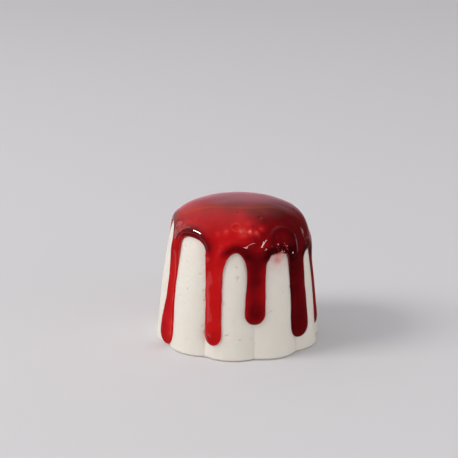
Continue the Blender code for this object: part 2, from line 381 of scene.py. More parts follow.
# %% Prick the pinholes
PINHOLES = 560
PIN_HEIGHTS = (3, 49)   # mm
PIN_CROWDING = (1.6, 1.1)   # the two powers of a beta curve: they crowd a little towards the top
PIN_RADII = (0.28, 0.7)     # mm
PIN_FINENESS = 2.5      # the higher, the more of them are small
PIN_DEPTH = 0.7         # of its radius
PIN_EDGE = (0.2, 1.3)   # its side slopes between these, of its radius
IN_CREASE = 0.5         # share of them that is caught in a crease
CREASE_SPREAD = 2.0     # degrees
REFINE_BESIDE = 0.5     # mm
pins = np.random.default_rng(7)


def pin_places():
    """(azimuth, height, radius) of each pinhole, seeded."""
    azimuths = pins.uniform(0, 360, PINHOLES)
    creases = CREASE_AZIMUTH + 360 / LOBES * np.round(azimuths * LOBES / 360)
    in_crease = creases + pins.normal(0, CREASE_SPREAD, PINHOLES)
    azimuths = np.where(pins.random(PINHOLES) < IN_CREASE, in_crease, azimuths)
    heights = mix(*PIN_HEIGHTS, pins.beta(*PIN_CROWDING, PINHOLES))
    radii = mix(*PIN_RADII, pins.random(PINHOLES) ** PIN_FINENESS)
    return zip(azimuths, heights, radii)


pins_made = [
    (surface(azimuth, length_at(height), flute(azimuth, height) + SAG, 0), radius * MM)
    for azimuth, height, radius in pin_places()]
pin_tree = KDTree(len(pins_made))
for index, (middle, _) in enumerate(pins_made):
    pin_tree.insert(middle, index)
pin_tree.balance()


def in_pinhole(point):
    """(1 in the middle of the nearest pinhole and 0 outside it, its radius)."""
    _, index, distance = pin_tree.find(point)
    radius = pins_made[index][1]
    return float(1 - smooth(distance / radius, *PIN_EDGE)), radius


def prick(bm):
    """Refines the mesh round each pinhole and presses it in."""
    near = []
    for edge in bm.edges:
        _, index, distance = pin_tree.find((edge.verts[0].co + edge.verts[1].co) / 2)
        if distance < PIN_EDGE[1] * pins_made[index][1] + REFINE_BESIDE * MM:
            near.append(edge)
    bmesh.ops.subdivide_edges(bm, edges=near, cuts=2, use_grid_fill=True)
    for vert in bm.verts:
        deep, radius = in_pinhole(vert.co)
        if deep > 0:
            vert.co += Vector((-vert.co.x, -vert.co.y, 0)).normalized() * radius * PIN_DEPTH * deep


prick(cream_bm)
print("pricked cream:", len(cream_bm.verts), "points,", len(cream_bm.faces), "faces")

# %% [markdown]
# ## Finishes: one helper for colours, one for nodes
# A picture editor's colours are sRGB, and Blender's sockets want linear light, so one function
# turns a hex value into the other. A second adds a node with its settings and its links. With
# those two a material reads like a list of what is mixed into what.

# %% Helpers for materials


def colour(hex_value):
    """A linear RGBA colour from an sRGB hex value such as "e7dfd2", by the sRGB curve."""
    parts = [int(hex_value[i:i + 2], 16) / 255 for i in (0, 2, 4)]
    return (*[p / 12.92 if p <= 0.04045 else ((p + 0.055) / 1.055) ** 2.4 for p in parts], 1)


def add(tree, kind, inputs=(), **settings):
    """Adds a node. inputs maps a socket to a plain value or to another node's output socket."""
    made = tree.nodes.new(kind)
    for name, value in settings.items():
        setattr(made, name, value)
    for name, value in dict(inputs).items():
        if isinstance(value, bpy.types.NodeSocket):
            tree.links.new(value, made.inputs[name])
        else:
            made.inputs[name].default_value = value
    return made


def blend(tree, share, first, last):
    """first where share is 0 and last where it is 1; both are colours or colour sockets."""
    made = add(tree, "ShaderNodeMix", data_type="RGBA")
    for socket, value in zip((made.inputs[0], made.inputs[6], made.inputs[7]), (share, first, last)):
        if isinstance(value, bpy.types.NodeSocket):
            tree.links.new(value, socket)
        else:
            socket.default_value = value
    return made.outputs[2]


def new_material(name, **values):
    """A material with a Principled shader whose plain sockets are set."""
    material = bpy.data.materials.new(name)
    material.use_nodes = True
    shader = material.node_tree.nodes["Principled BSDF"]
    for socket, value in values.items():
        shader.inputs[socket.replace("_", " ")].default_value = value
    return material, material.node_tree, shader


# %% [markdown]
# ## The cream's finish
# Set cream is fat and milk held in water: light goes a few millimetres in, spreads, and comes out
# again a little warmer, so its shadows are soft and its edges glow. Its skin is moist but took the
# fine grain of the mould, so it shines only faintly. The Principled shader's subsurface light does
# the first, and a slow noise between two near whites and a fine bump do the rest.

# %% Set cream, turned out of a mould
LIGHT_REACH = 3.0       # mm that the light spreads in the cream
GRAIN_SIZE = 1.3        # mm, coarser than the real grain so that it shows
GRAIN_DEPTH = 0.3       # mm
MOTTLE_SIZE = 6.0       # mm
CREAM_TINTS = ("efebe1", "ebe4d8")
JUICE_STAIN_AND_PIT_SHADE = "d98a88"


def set_cream():
    """A pale soft solid that looks lit from a little way inside."""
    material, tree, shader = new_material(
        "set_cream_turned_out", Roughness=0.5, IOR=1.37, Specular_IOR_Level=0.3, Subsurface_Weight=0.35,
        Subsurface_Radius=(1.0, 0.8, 0.6), Subsurface_Scale=LIGHT_REACH * MM)
    where = add(tree, "ShaderNodeTexCoord").outputs["Object"]
    mottle = add(tree, "ShaderNodeTexNoise", {
        "Vector": where, "Scale": 1 / (MOTTLE_SIZE * MM), "Detail": 3})
    tint = blend(tree, mottle.outputs["Fac"], *[colour(tint) for tint in CREAM_TINTS])
    # The stain's pink also paints shade into the pinholes.
    stained_and_shaded = add(tree, "ShaderNodeAttribute", attribute_name="berry_stain_and_pit_shade").outputs["Fac"]
    tint = blend(tree, stained_and_shaded, tint, colour(JUICE_STAIN_AND_PIT_SHADE))
    grain = add(tree, "ShaderNodeTexNoise", {
        "Vector": where, "Scale": 1 / (GRAIN_SIZE * MM), "Detail": 4})
    bump = add(tree, "ShaderNodeBump", {
        "Height": grain.outputs["Fac"], "Strength": 0.6, "Distance": GRAIN_DEPTH * MM})
    tree.links.new(tint, shader.inputs["Base Color"])
    tree.links.new(bump.outputs["Normal"], shader.inputs["Normal"])
    return material


cream = new_object("cream_body", cream_bm, set_cream())
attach(cream, "root")
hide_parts("panna_cotta")
print("cream:", len(cream.data.polygons), "faces")

# %% [markdown]
# ## The sauce
# The sauce is one body: a cap on the top and shoulder that splits into drips. Modelling it as a
# fluid would take long and hit none of the drips that we can see. Instead we lay a sheet over the
# crest line, a grid for the cap and a strip for each drip, and weld them. It is closest at its
# edge, where the bead is steep. Later the sheet is doubled and its upper side raised.

# %% Lay the sheet
DRIP_COLUMNS = 14
ARCH_COLUMNS = 32
STEM_ROWS = 46
TIP_ROWS = 12
CAP_ROWS = 50
RIM_DISTANCES = (0, 0.12, 0.3, 0.55, 0.9, 1.35, 1.9, 2.5, 3.2)     # mm inside the edge
SAME_SEAM = 5e-6        # metres


def across_drip(column):
    """-1 to 1 across a drip, closer together at its sides, where the bead is steep."""
    return sin(pi * (column / DRIP_COLUMNS - 0.5))


def add_patch(bm, columns, rows, place):
    """A grid whose corner at column i and row j goes to place(i, j)."""
    grid = bmesh.ops.create_grid(bm, x_segments=columns, y_segments=rows, size=0.5)
    for vert in grid["verts"]:
        vert.co = place(round((vert.co.x + 0.5) * columns), round((vert.co.y + 0.5) * rows))


def rim_points():
    """(azimuth, height) where each column of the cap ends."""
    points = []
    for index, drip in enumerate(DRIPS):
        left, right = foot_heights(index)
        for column in range(DRIP_COLUMNS):
            side = across_drip(column)
            height = mix(left, right, (side + 1) / 2)
            points.append((drip_point(drip, side, height), height))
        points += [arch_point(index, column / ARCH_COLUMNS) for column in range(ARCH_COLUMNS)]
    return points


def add_cap(bm):
    """Columns from the middle of the top to the rim, even at the middle and gathered at the rim."""
    rim = rim_points()
    columns = len(rim)
    rim.append((rim[0][0] + 360, rim[0][1]))

    def place(column, row):
        azimuth, height = rim[column]
        end = length_at(height)
        if row < len(RIM_DISTANCES):
            length = end - RIM_DISTANCES[row]
        else:
            share = (CAP_ROWS - row) / (CAP_ROWS - len(RIM_DISTANCES) + 1)
            length = share * (end - RIM_DISTANCES[-1])
        even = rim[0][0] + 360 * column / columns
        return surface(mix(even, azimuth, smooth(length / end, 0, 1)), length, 0, 0)

    add_patch(bm, columns, CAP_ROWS, place)


def add_drip(bm, index):
    """A strip from a drip's root to its bulb, closed by a rounded end."""
    drip = DRIPS[index]
    left, right = foot_heights(index)
    bulb = bulb_height(drip)
    widest = degrees(drip.bulb_width / 2 / crest_radius(bulb))

    def place(column, row):
        side = across_drip(column)
        root = mix(left, right, (side + 1) / 2)
        if row <= STEM_ROWS:
            height = mix(root, bulb, row / STEM_ROWS)
            return surface(drip_point(drip, side, height), length_at(height), 0, 0)
        turn = pi / 2 * (row - STEM_ROWS) / TIP_ROWS
        height = bulb - (bulb - drip.tip_height) * sin(turn)
        return surface(drip_azimuth(drip, height) + side * widest * cos(turn), length_at(height), 0, 0)

    add_patch(bm, DRIP_COLUMNS, STEM_ROWS + TIP_ROWS, place)


sauce_bm = bmesh.new()
depth_and_shade_layer = sauce_bm.verts.layers.float.new("sauce_depth_and_shade")
froth_layer = sauce_bm.verts.layers.float.new("froth")
add_cap(sauce_bm)
for index in range(len(DRIPS)):
    add_drip(sauce_bm, index)
bmesh.ops.remove_doubles(sauce_bm, verts=sauce_bm.verts, dist=SAME_SEAM)
print("sheet:", len(sauce_bm.verts), "points")

# %% [markdown]
# ## Lumps, rings and bubbles
# Stirred sauce holds air and bits of fruit: fine froth makes milky patches, a large bubble bursts
# and leaves a ring with a dimple, and foam gathers where the sauce ran last. Each is a smooth round
# rise or hollow in the sheet, so one list of places, sizes and heights makes them all, and its last
# value says how pale the sauce is there. That paleness is froth in part and painted sheen in part:
# some pale patches stand for what the shoulder mirrors. The sheet is refined where they are finer
# than its mesh.

# %% Lumps, rings and bubbles
# Azimuth in degrees; height, radius, rise and the ring's radius in millimetres; froth and painted
# sheen from 0 to 1.
Lump = namedtuple("Lump", "azimuth height radius rise ring cloud", defaults=(0, 0))
LUMPS = (
    Lump(-2.5, 53.0, 0.5, 0.16, 1.7, 0.5),    # a burst bubble on the front of the shoulder
    Lump(-2.5, 53.0, 0.8, -0.15),
    # Painted sheen in part: these pale patches also stand for a dim light that the shoulder mirrors.
    Lump(-11.0, 51.5, 2.0, 0.1, 0, 0.6),      # cloudy patches of fine bubbles beside it
    Lump(-17.0, 50.6, 1.8, 0.1, 0, 0.4),
    Lump(3.5, 51.6, 2.6, 0.03, 0, 0.95),
    Lump(9.5, 51.6, 2.0, 0.03, 0, 0.9),
    Lump(14.5, 51.2, 1.8, 0.03, 0, 0.9),
    Lump(19.5, 52.2, 1.6, 0.03, 0, 0.7),
    Lump(9.0, 54.0, 1.6, 0.03, 0, 0.5),
    # Painted reflection: this crescent is pale colour alone, with no rise, for the window mirrored
    # outside the roll.
    Lump(-52.5, 46.8, 0.9, 0, 0, 0.45),       # a milky crescent outside the roll of the first arch
    Lump(-53.0, 48.8, 0.9, 0, 0, 0.5),
    Lump(-52.0, 50.8, 0.9, 0, 0, 0.5),
    Lump(-49.8, 52.6, 0.9, 0, 0, 0.45),
    Lump(-46.5, 53.8, 0.9, 0, 0, 0.4),
    Lump(8.5, 47.4, 1.6, 0.34),               # a fuller place on the roll of the second arch
    Lump(12.5, 47.6, 1.8, 0.4),
    Lump(-1.5, 56.2, 0.6, -0.25),             # dimples
    Lump(23.5, 55.2, 0.8, -0.25),
    Lump(13.5, 52.8, 0.5, -0.2),
    Lump(37.5, 46.0, 1.3, 0.7, 6.0),          # a wide ring round the foam above the ragged arch
    Lump(28.6, 46.8, 1.4, 0.45),
    Lump(30.0, 48.6, 1.2, 0.35),
    Lump(34.6, 45.6, 0.5, 0.3, 1.8),          # a large bubble in the middle of the foam
    Lump(34.6, 45.6, 0.8, -0.2),
    Lump(36.6, 44.0, 0.8, 0.45),
    Lump(31.2, 43.8, 0.8, 0.35),
    Lump(39.8, 43.8, 0.7, 0.4),
    Lump(38.4, 45.0, 0.4, -0.35),
    Lump(33.4, 43.8, 0.4, -0.35),
)
LUMP_STEEPNESS = 1.5
LUMP_REACH = 2.5        # radii, past which a lump adds nothing

# %% Foam and free lumps
FOAM_SPECKS = 22
FOAM_PLACE = (34.8, 44.6)   # azimuth in degrees, height in mm
FOAM_SPREAD = (3.6, 1.2)    # degrees and mm
FOAM_RADII = (0.2, 0.55)    # mm
FOAM_RISE = 0.3         # of its radius
FOAM_PALE = (0.9, 1.7)
FREE_LUMPS = 34
FREE_AZIMUTHS = (60, 330)   # degrees
FREE_HEIGHTS = (43, 55)     # mm
FREE_RADII = (0.5, 1.6)     # mm
FREE_RISE = 0.14        # of its radius
specks = np.random.default_rng(5)
drops = np.random.default_rng(21)


def foam_lumps():
    """Seeded specks of pale froth over the ragged arch."""
    for _ in range(FOAM_SPECKS):
        sideways, upwards = specks.normal(0, 1, 2)
        azimuth = FOAM_PLACE[0] + FOAM_SPREAD[0] * float(sideways)
        height = FOAM_PLACE[1] + FOAM_SPREAD[1] * float(upwards)
        radius = float(specks.uniform(*FOAM_RADII))
        pale = float(specks.uniform(*FOAM_PALE))
        yield Lump(azimuth, height, radius, radius * FOAM_RISE, 0, pale)


def free_lumps():
    """Seeded small lumps over the whole cap, most of them out of sight at the back."""
    for _ in range(FREE_LUMPS):
        radius = float(mix(*FREE_RADII, drops.random()))
        azimuth = float(drops.uniform(*FREE_AZIMUTHS))
        height = float(drops.uniform(*FREE_HEIGHTS))
        yield Lump(azimuth, height, radius, radius * FREE_RISE)


def placed(some):
    """Pairs of a lump and its place on the crest line."""
    return [(surface(lump.azimuth, length_at(lump.height), 0, 0), lump) for lump in some]


fine_lumps = placed([*LUMPS, *foam_lumps()])
lumps = fine_lumps + placed(free_lumps())


def lump_lift(point):
    """What the lumps add, and how pale they make it with froth and painted sheen: smooth round rises,
    dimples and rings.
    """
    rise, cloud = 0, 0
    for middle, lump in lumps:
        off = abs((point - middle).length / MM - lump.ring) / lump.radius
        if off < LUMP_REACH:
            share = float(np.exp(-(off**2) * LUMP_STEEPNESS))
            rise += lump.rise * share
            cloud = max(cloud, lump.cloud * share)
    return rise, cloud


def refine_near_lumps(bm):
    """Splits the sheet's edges in three where a lump would be too fine for them."""
    near = []
    for edge in bm.edges:
        middle = (edge.verts[0].co + edge.verts[1].co) / 2
        if any((middle - place).length / MM < lump.ring + 2 * lump.radius for place, lump in fine_lumps):
            near.append(edge)
    bmesh.ops.subdivide_edges(bm, edges=near, cuts=2, use_grid_fill=True)


refine_near_lumps(sauce_bm)
print(len(lumps), "lumps; refined sheet:", len(sauce_bm.verts), "points")

# %% [markdown]
# ## How thick it lies
# Surface tension holds a wet edge up as a rounded bead. Inside it the sauce is thinner where it ran
# off the shoulder and fuller on the flat top, the drips end in a swollen drop, and a fat roll is
# left round an arch. All of this depends on how far a point is from the edge, from a drip's end and
# from the middle, so we measure those distances and add up smooth curves of them.

# %% How far a point is from the edges and the drips' ends
EDGE_SAMPLES = 4        # points for each edge of the mesh


def distance_to(points):
    """A function that gives the distance in millimetres from a point to the nearest of these."""
    tree = KDTree(len(points))
    for index, point in enumerate(points):
        tree.insert(point, index)
    tree.balance()
    return lambda point: tree.find(point)[2] / MM


def outline_points(edges):
    """Close points along these edges."""
    ends = [[vert.co.copy() for vert in edge.verts] for edge in edges]
    return [a.lerp(b, step / EDGE_SAMPLES) for a, b in ends for step in range(EDGE_SAMPLES)]


def bulb_points():
    """The middle of each drip's end."""
    ends = [(drip_azimuth(drip, bulb_height(drip)), bulb_height(drip)) for drip in DRIPS]
    return [surface(azimuth, length_at(height), 0, 0) for azimuth, height in ends]


open_edges = [edge for edge in sauce_bm.edges if edge.is_boundary]
to_edge = distance_to(outline_points(open_edges))
to_bulb = distance_to(bulb_points())
print("open edges:", len(open_edges))

# %% How full it was poured
# Azimuths in degrees, each with a share of the full thickness.
POUR = ((-180, 1.0), (-115, 0.75), (-85, 0.6), (-55, 0.85), (-25, 1.0), (62, 1.0), (78, 0.5),
        (96, 0.5), (116, 0.85), (135, 1.0), (180, 1.0))


def poured(azimuth):
    """How full the sauce lies: it was poured off the middle, so it is thinner at the left."""
    return np.interp(azimuth, *zip(*POUR))


def arch_crown(index):
    """Azimuth of the top of an arch, from -180 to 180."""
    return (arch_point(index, ARCHES[index].crown_share)[0] + 180) % 360 - 180


CROWNS, ROLLS, CROWN_HEIGHTS = zip(*sorted(
    (arch_crown(index), arch.roll, arch.crown) for index, arch in enumerate(ARCHES)))


def roll_lift(azimuth):
    """How fat the roll round the arches is here."""
    return np.interp(azimuth, CROWNS, ROLLS, period=360)


def crown_height(azimuth):
    """How high the arches reach here."""
    return np.interp(azimuth, CROWNS, CROWN_HEIGHTS, period=360)


# %% The thickness, in millimetres
EDGE_LIFT = 0.12
BEAD_LIFT = 1.2
BEAD_WIDTH = 3.0
TIP_SWELL = 0.6         # how much fuller a drip's end is
SWELL_REACH = 6.0
ROLL_PLACE = 2.6        # middle of the fat roll round each arch, from the edge
ROLL_WIDTH = 2.0
ROLL_HEIGHT = (36.0, 43.0)
CAP_LIFT = 0.75         # on the shoulder, this far in from the edge
CAP_REACH = 6.5
TOP_LIFT = 1.4          # on the flat top, as far as this along the crest line
TOP_REACH = (12.0, 27.0)
POUR_FROM = (12, 24)    # how far from the middle it matters where it was poured
POUR_UNEVEN = 0.14      # the poured cap is this much thicker or thinner in places
POUR_SIZE = 9.0
RIPPLE = 0.02
RIPPLE_SIZE = 2.6
RIPPLE_STRETCH = 3      # ripples are this much longer down the side than across
RIPPLE_FROM = (20, 30)
EVEN_EDGE = 3           # the edge itself stays even for this far


def sauce_lift(point, inside, length, azimuth, height):
    """Thickness over the cream: a bead at the edge, swollen ends, a thinner shoulder, a fuller top."""
    bead = (1 - (1 - min(inside / BEAD_WIDTH, 1)) ** 2) ** 0.5
    swell = TIP_SWELL * (1 - smooth(to_bulb(point), 0, SWELL_REACH))
    edge = mix(EDGE_LIFT, BEAD_LIFT + swell, bead)
    cap = mix(TOP_LIFT, CAP_LIFT, smooth(length, *TOP_REACH))
    roll = np.exp(-(((inside - ROLL_PLACE) / ROLL_WIDTH) ** 2)) * smooth(height, *ROLL_HEIGHT)
    stretched = Vector((point.x, point.y, point.z / RIPPLE_STRETCH))
    ripple = RIPPLE * noise.noise(stretched / (RIPPLE_SIZE * MM)) * smooth(length, *RIPPLE_FROM)
    uneven = POUR_UNEVEN * noise.noise(point / (POUR_SIZE * MM)) + ripple
    uneven *= smooth(inside, 0, EVEN_EDGE)
    full = mix(1, poured(azimuth), smooth(length, *POUR_FROM))
    lift = mix(edge, cap, smooth(inside, BEAD_WIDTH, CAP_REACH)) + roll_lift(azimuth) * roll
    return float(full * lift + uneven)


# %% [markdown]
# ## How deep its colour is
# Clear sauce is redder the thinner it lies. Its colour is also painted deeper towards the right,
# the side away from the light at the left, which is painted shade, and made uneven at random. Its
# rolls and edges are painted darker still, as painted shade, because the light that reaches them has
# come a long way along the sauce, and its drips are painted darker on their left side. We work a
# single number out for each point, and the material turns it into a colour. It could be painted by
# hand, but not so evenly.

# %% Painted shade, deeper towards the right, and uneven depth
# Azimuths in degrees, each with how deep the sauce's colour is painted, deeper at the right as painted
# shade: on the cap, and where it has run down.
RICH_AND_SHADE = ((-180, 1.25), (-110, 1.2), (-75, 1.25), (-45, 1.15), (-12, 1.0), (2, 1.0), (14, 1.6),
        (30, 1.9), (50, 2.4), (75, 2.6), (95, 2.3), (150, 1.6), (180, 1.25))
RUN_RICH_AND_SHADE = ((-180, 1.25), (-110, 1.0), (-75, 0.9), (-45, 0.82), (-12, 0.8), (2, 1.0), (14, 1.7),
            (30, 1.9), (50, 2.3), (68, 2.3), (86, 1.6), (150, 1.4), (180, 1.25))
RUN_FROM = (28, 38)     # mm from the middle where the cap turns into what has run off it
RICH_UNEVEN = (0.22, 0.1)       # of its depth, over each of the two sizes
RICH_SIZES = (7.0, 2.4)         # mm
TOP_RICH = 1.6
TOP_RICH_REACH = (8, 20)        # mm from the middle
TOP_EVEN = 0.7          # how much of the unevenness is gone on the top


def richness_and_shade(azimuth, length, point):
    """How deep the sauce's colour is for its thickness: deeper towards the right as painted shade, and
    uneven at random.
    """
    cap, run = np.interp(azimuth, *zip(*RICH_AND_SHADE)), np.interp(azimuth, *zip(*RUN_RICH_AND_SHADE))
    around = float(mix(cap, run, smooth(length, *RUN_FROM)))
    on_top = 1 - float(smooth(length, *TOP_RICH_REACH))
    sizes = zip(RICH_UNEVEN, RICH_SIZES)
    uneven = sum(share * noise.noise(point / (size * MM)) for share, size in sizes)
    return mix(around, TOP_RICH, on_top) * (1 + uneven * (1 - TOP_EVEN * on_top))


# %% Painted shade at the edges and rolls, and darker drops
EVEN_SHARE = 0.75       # how much of the colour is even, and not a matter of thickness
EDGE_SHADE = 0.45
EDGE_WIDTH = 0.4        # mm
ROLL_SHADE = 1.1
ROLL_DARK_PLACE = 1.6   # mm inside the edge
ROLL_DARK_WIDTH = 1.5   # mm
ROLL_DARK_FROM = (4, 0.5)   # mm below the crown
BULB_DARK = 0.08
BULB_REACH = 6.0        # mm
# Painted shade: the drips are made darker on their left side and lighter on their right, where light
# from the left comes through them.
SIDE_SHADE = 0.25             # the drips look thicker on their left side
SIDE_SHADE_FADES = (36, 44)   # heights in mm


def drip_side(azimuth, height):
    """-1 to 1 across the nearest drip, and 0 up on the cap."""
    offs = [(azimuth - drip_azimuth(drip, height) + 180) % 360 - 180 for drip in DRIPS]
    nearest = min(range(len(DRIPS)), key=lambda index: abs(offs[index]))
    half = degrees(drip_width(DRIPS[nearest], height) / 2 / crest_radius(height))
    return float(np.clip(offs[nearest] / half, -1, 1) * (1 - smooth(height, *SIDE_SHADE_FADES)))


def colour_depth_and_shade(azimuth, length, height, inside, thickness, point):
    """How much sauce the light seems to come through, with painted shade at the edges, on the rolls and
    on the left of the drips.
    """
    # Painted shade: the edge, and the roll round each arch near its crown, are made darker than their
    # thickness gives.
    edge = EDGE_SHADE * np.exp(-inside / EDGE_WIDTH)
    below, near = [crown_height(azimuth) - under for under in ROLL_DARK_FROM]
    roll = ROLL_SHADE * np.exp(-(((inside - ROLL_DARK_PLACE) / ROLL_DARK_WIDTH) ** 2))
    roll *= smooth(height, below, near)
    bulb = BULB_DARK * (1 - smooth(to_bulb(point), 0, BULB_REACH))
    seen = EVEN_SHARE + (1 - EVEN_SHARE) * thickness + edge + roll + bulb
    return float(seen) * richness_and_shade(azimuth, length, point) * (1 - SIDE_SHADE * drip_side(azimuth, height))


# %% [markdown]
# ## Raise the upper side
# Extruding all faces at once, with the old ones kept, closes the sheet with a wall round its edge.
# The new side goes up by the thickness, and the old one goes a little way into the cream, so that
# no gap shows. Sauce fills the creases that it lies over, but near its edge and low on the side it
# is too thin for that and follows them, and a level from 0 to 1 says how closely.

# %% Raise the upper side
SINK = 0.35             # mm that the underside lies inside the cream
LEVEL_REACH = 14.0      # mm inside the edge, within which the sauce follows the creases
LEVEL_HEIGHT = (30.0, 42.0)     # heights in mm, between which it stops following them
# The milky patches are froth and painted sheen together.
CLOUD_SIZE = 1.8        # mm, how finely the milky patches are broken up
CLOUD_EVEN = 0.8
CLOUD_BROKEN = 0.6

doubled = bmesh.ops.extrude_face_region(sauce_bm, geom=sauce_bm.faces[:], use_keep_orig=True)
upper = {item for item in doubled["geom"] if isinstance(item, bmesh.types.BMVert)}
for vert in sauce_bm.verts:
    azimuth, height, radius = place_of(vert.co)
    inside = to_edge(vert.co)
    length = length_of(radius, height)
    sunk, lift = flute(azimuth, height), -SINK
    if vert in upper:
        level = (1 - smooth(inside, 0, LEVEL_REACH)) * (1 - smooth(height, *LEVEL_HEIGHT))
        lump, cloud = lump_lift(vert.co)
        cloud *= CLOUD_EVEN + CLOUD_BROKEN * noise.noise(vert.co / (CLOUD_SIZE * MM))
        lift = sauce_lift(vert.co, inside, length, azimuth, height) + lump * float(smooth(inside, 0, 1))
        thickness = lift + sunk * (1 - level)
        depth = colour_depth_and_shade(azimuth, length, height, inside, thickness, vert.co)
        # Froth and painted sheen take depth away, which makes the colour paler.
        vert[depth_and_shade_layer] = depth * (1 - cloud)
        vert[froth_layer] = cloud
        sunk *= level
    vert.co = surface(azimuth, length, sunk, lift)
bmesh.ops.recalc_face_normals(sauce_bm, faces=sauce_bm.faces)
print("sauce:", len(sauce_bm.verts), "points,", len(sauce_bm.faces), "faces")

# %% [markdown]
# ## The sauce's finish
# A strained berry sauce is clear, with sugar enough to make it set with a hard shine. Light goes
# through it, bounces off the cream and comes back, so its colour is a matter of depth: a thin film
# is bright red and a thick place almost black. The depth that we kept on the mesh, with its painted
# shade, picks the colour.
# A see-through shader would do the same more slowly and with more noise. Its shine is as sharp as
# glass, apart from the froth, whose fine bubbles break it up.

# %% Red berry sauce, cooked and strained
DEPTHS = ((0.0, "f0b4ac"), (0.15, "e0655c"), (0.35, "d63a34"), (0.7, "cc1a1c"), (1.3, "a61117"),
          (2.0, "6e0a10"), (3.6, "3e0409"))
CLEAR_ROUGH = 0.05
FROTH_ROUGH = 0.5
SYRUP_IOR = 1.42        # between water and sugar


def ramp(tree, value, stops):
    """A colour ramp over a value that runs from 0 to the last stop's place."""
    last = stops[-1][0]
    share = add(tree, "ShaderNodeMath", {0: value, 1: last}, operation="DIVIDE")
    made = add(tree, "ShaderNodeValToRGB", {"Fac": share.outputs[0]})
    elements = made.color_ramp.elements
    while len(elements) < len(stops):
        elements.new(0.5)
    for element, (place, hex_value) in zip(elements, stops):
        element.position = place / last
        element.color = colour(hex_value)
    return made.outputs["Color"]


def berry_sauce():
    """A wet red gloss over a colour that changes with the depth."""
    material, tree, shader = new_material("red_berry_sauce_strained", IOR=SYRUP_IOR)
    depth = add(tree, "ShaderNodeAttribute", attribute_name="sauce_depth_and_shade").outputs["Fac"]
    tree.links.new(ramp(tree, depth, DEPTHS), shader.inputs["Base Color"])
    froth = add(tree, "ShaderNodeAttribute", attribute_name="froth").outputs["Fac"]
    rough = add(tree, "ShaderNodeMapRange", {
        "Value": froth, "To Min": CLEAR_ROUGH, "To Max": FROTH_ROUGH})
    tree.links.new(rough.outputs["Result"], shader.inputs["Roughness"])
    return material


sauce = new_object("berry_sauce_coat", sauce_bm, berry_sauce())
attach(sauce, "root")
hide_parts("berry_sauce")
print("colours of the sauce:", len(DEPTHS))

# %% [markdown]
# ## Where the sauce has stained the cream
# Cream soaks up a little juice beside the sauce, most of all under the ragged arch, where a thin
# film ran on ahead. We could paint it, but the distance from each point of the cream to the edge
# of the sauce does it for the whole way round. The pinholes take a little of the same pink too:
# some juice caught in them, and painted shade.

# %% Stain the cream, with painted shade in the pinholes
STAIN = 0.22
STAIN_REACH = 0.9       # mm
FILM = 0.9
FILM_PLACE = (31.5, 42.4)   # azimuth and height of the film under the ragged arch
FILM_REACH = 4.8        # mm
FILM_SIZE = 2.2         # mm, how finely it is broken up
FILM_EVEN = 0.75
FILM_BROKEN = 0.7
PIN_STAIN_AND_SHADE = 0.2         # juice and shadow in a pinhole
STAIN_SEEN = 0.05


def stain_and_pit_shade(point):
    """How pink the cream is here, from 0 to 1: juice stain, and painted shade in the pinholes."""
    edge = STAIN * np.exp(-to_edge(point) / STAIN_REACH)
    off = (point - film_middle).length / (FILM_REACH * MM)
    broken = FILM_EVEN + FILM_BROKEN * noise.noise(point / (FILM_SIZE * MM))
    film = FILM * np.exp(-(off**2)) * broken
    return float(min(edge + max(film, 0) + PIN_STAIN_AND_SHADE * in_pinhole(point)[0], 1))


film_middle = surface(FILM_PLACE[0], length_at(FILM_PLACE[1]), 0, 0)
stains_and_pit_shade = cream.data.attributes.new("berry_stain_and_pit_shade", "FLOAT", "POINT")
stains_and_pit_shade.data.foreach_set("value", [stain_and_pit_shade(vert.co) for vert in cream.data.vertices])
print("stained points:", sum(item.value > STAIN_SEEN for item in stains_and_pit_shade.data))

# %% [markdown]
# ## The table
# The dessert stands on a bare pale surface that runs on behind it. A large plain floor gives the
# same. It is painted and dull, so it takes a soft shadow and no reflection, and the sauce doesn't
# mirror it, because the room that it does mirror is made further on.

# %% The floor
FLOOR_SIZE = 6.0        # metres


def pale_floor():
    """A large dull sheet, a little cooler than white."""
    material, tree, shader = new_material(
        "pale_painted_table", Base_Color=colour("e3e1e3"), Roughness=0.6, Specular_IOR_Level=0.0)
    bm = bmesh.new()
    bmesh.ops.create_grid(bm, x_segments=1, y_segments=1, size=FLOOR_SIZE / 2)
    return new_object("floor", bm, material)


table = pale_floor()
table.visible_glossy = False
print("floor, m:", FLOOR_SIZE)

# %% [markdown]
# ## The light
# A broad soft lamp at the left does most of the work, and a weak one at the right keeps the shadow
# side from going dark. Wet sauce shows what it mirrors more than what lights it, so these two are
# hidden from reflections, and five other lamps are only mirrored: a tall window, the glow of the
# table, a rim at the back and two small glints. That way light and highlights are set one by one.

# %% The light
KEY_POWER = 17.5        # watts, as the others
FILL_POWER = 4.5
WINDOW_POWER = 2.6
GLOW_POWER = 0.55
RIM_POWER = 0.18
SIDE_GLINT_POWER = 24.0
FRONT_GLINT_POWER = 3.8


def lamp(name, azimuth, elevation, distance, size, power, tone):
    """A soft lamp that looks at the middle of the dessert; angles in degrees, the rest in metres."""
    light = bpy.data.lights.new(name, "AREA")
    light.shape = "RECTANGLE"
    light.size, light.size_y = size
    light.energy = power
    light.color = colour(tone)[:3]
    obj = bpy.data.objects.new(name, light)
    bpy.context.scene.collection.objects.link(obj)
    turn, rise = radians(azimuth), radians(elevation)
    back = Vector((sin(turn) * cos(rise), -cos(turn) * cos(rise), sin(rise)))
    obj.location = Vector((0, 0, BODY_HEIGHT * MM / 2)) + back * distance
    obj.rotation_euler = (-back).to_track_quat("-Z", "Y").to_euler()
    return obj


# The soft light from the left
lamp("key", -72, 38, 2.0, (0.8, 0.8), KEY_POWER, "fffcf8").visible_glossy = False
# A weak one from the right
lamp("fill", 58, 8, 1.5, (1.4, 0.6), FILL_POWER, "fffcf8").visible_glossy = False
